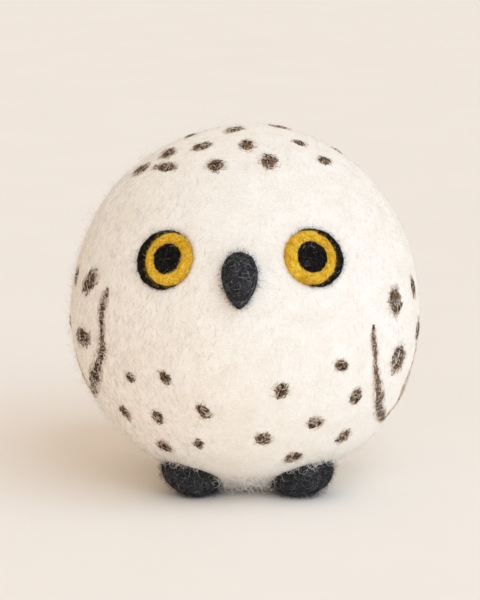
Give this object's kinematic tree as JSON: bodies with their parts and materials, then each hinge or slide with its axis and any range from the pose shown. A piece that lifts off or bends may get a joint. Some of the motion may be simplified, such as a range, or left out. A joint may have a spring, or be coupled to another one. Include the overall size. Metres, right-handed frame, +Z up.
{
  "type": "felted wool ball dog toy",
  "caption": "Round ball toy of felted wool for dogs, made as a snowy owl, with needled eyes, beak, feet, wing lines and spots.",
  "frame": {"origin": "middle of the flat base under the ball, on the surface the toy stands on", "axes": "+Z up, the face towards -Y, +X to the right as seen from the front"},
  "size_m": [0.0987, 0.1023, 0.1013],
  "materials": {
    "white_wool": "matted cream-white wool felt with a halo of loose fibres",
    "core_wool": "firm matted undyed wool",
    "black_wool": "needle-felted black wool",
    "yellow_wool": "needle-felted golden yellow wool",
    "charcoal_wool": "needle-felted charcoal wool with lighter grey strands",
    "brown_wool": "thin brown-grey wool needled through the white, with white fibres across it"
  },
  "bodies": {
    "root": {"wool_core": "core_wool", "white_cover": "white_wool", "left_eye_backing": "black_wool", "left_eye_ring": "yellow_wool", "left_eye_pupil": "black_wool", "right_eye_backing": "black_wool", "right_eye_ring": "yellow_wool", "right_eye_pupil": "black_wool", "beak": "charcoal_wool", "left_foot": "charcoal_wool", "right_foot": "charcoal_wool", "left_wing_line": "brown_wool", "right_wing_line": "brown_wool", "crown_spot_1": "brown_wool", "crown_spot_2": "brown_wool", "crown_spot_3": "brown_wool", "crown_spot_4": "brown_wool", "crown_spot_5": "brown_wool", "crown_spot_6": "brown_wool", "crown_spot_7": "brown_wool", "crown_spot_8": "brown_wool", "crown_spot_9": "brown_wool", "crown_spot_10": "brown_wool", "crown_spot_11": "brown_wool", "crown_spot_12": "brown_wool", "crown_spot_13": "brown_wool", "left_wing_spot_1": "brown_wool", "left_wing_spot_2": "brown_wool", "left_wing_spot_3": "brown_wool", "left_wing_spot_4": "brown_wool", "right_wing_spot_1": "brown_wool", "right_wing_spot_2": "brown_wool", "right_wing_spot_3": "brown_wool", "right_wing_spot_4": "brown_wool", "belly_spot_1": "brown_wool", "belly_spot_2": "brown_wool", "belly_spot_3": "brown_wool", "belly_spot_4": "brown_wool", "belly_spot_5": "brown_wool", "belly_spot_6": "brown_wool", "belly_spot_7": "brown_wool", "belly_spot_8": "brown_wool", "belly_spot_9": "brown_wool", "belly_spot_10": "brown_wool", "belly_spot_11": "brown_wool", "belly_spot_12": "brown_wool", "belly_spot_13": "brown_wool", "belly_spot_14": "brown_wool", "back_spot_1": "brown_wool", "back_spot_2": "brown_wool", "back_spot_3": "brown_wool", "back_spot_4": "brown_wool", "back_spot_5": "brown_wool", "back_spot_6": "brown_wool", "back_spot_7": "brown_wool", "back_spot_8": "brown_wool", "back_spot_9": "brown_wool", "back_spot_10": "brown_wool", "back_spot_11": "brown_wool", "back_spot_12": "brown_wool"}
  },
  "joints": []
}
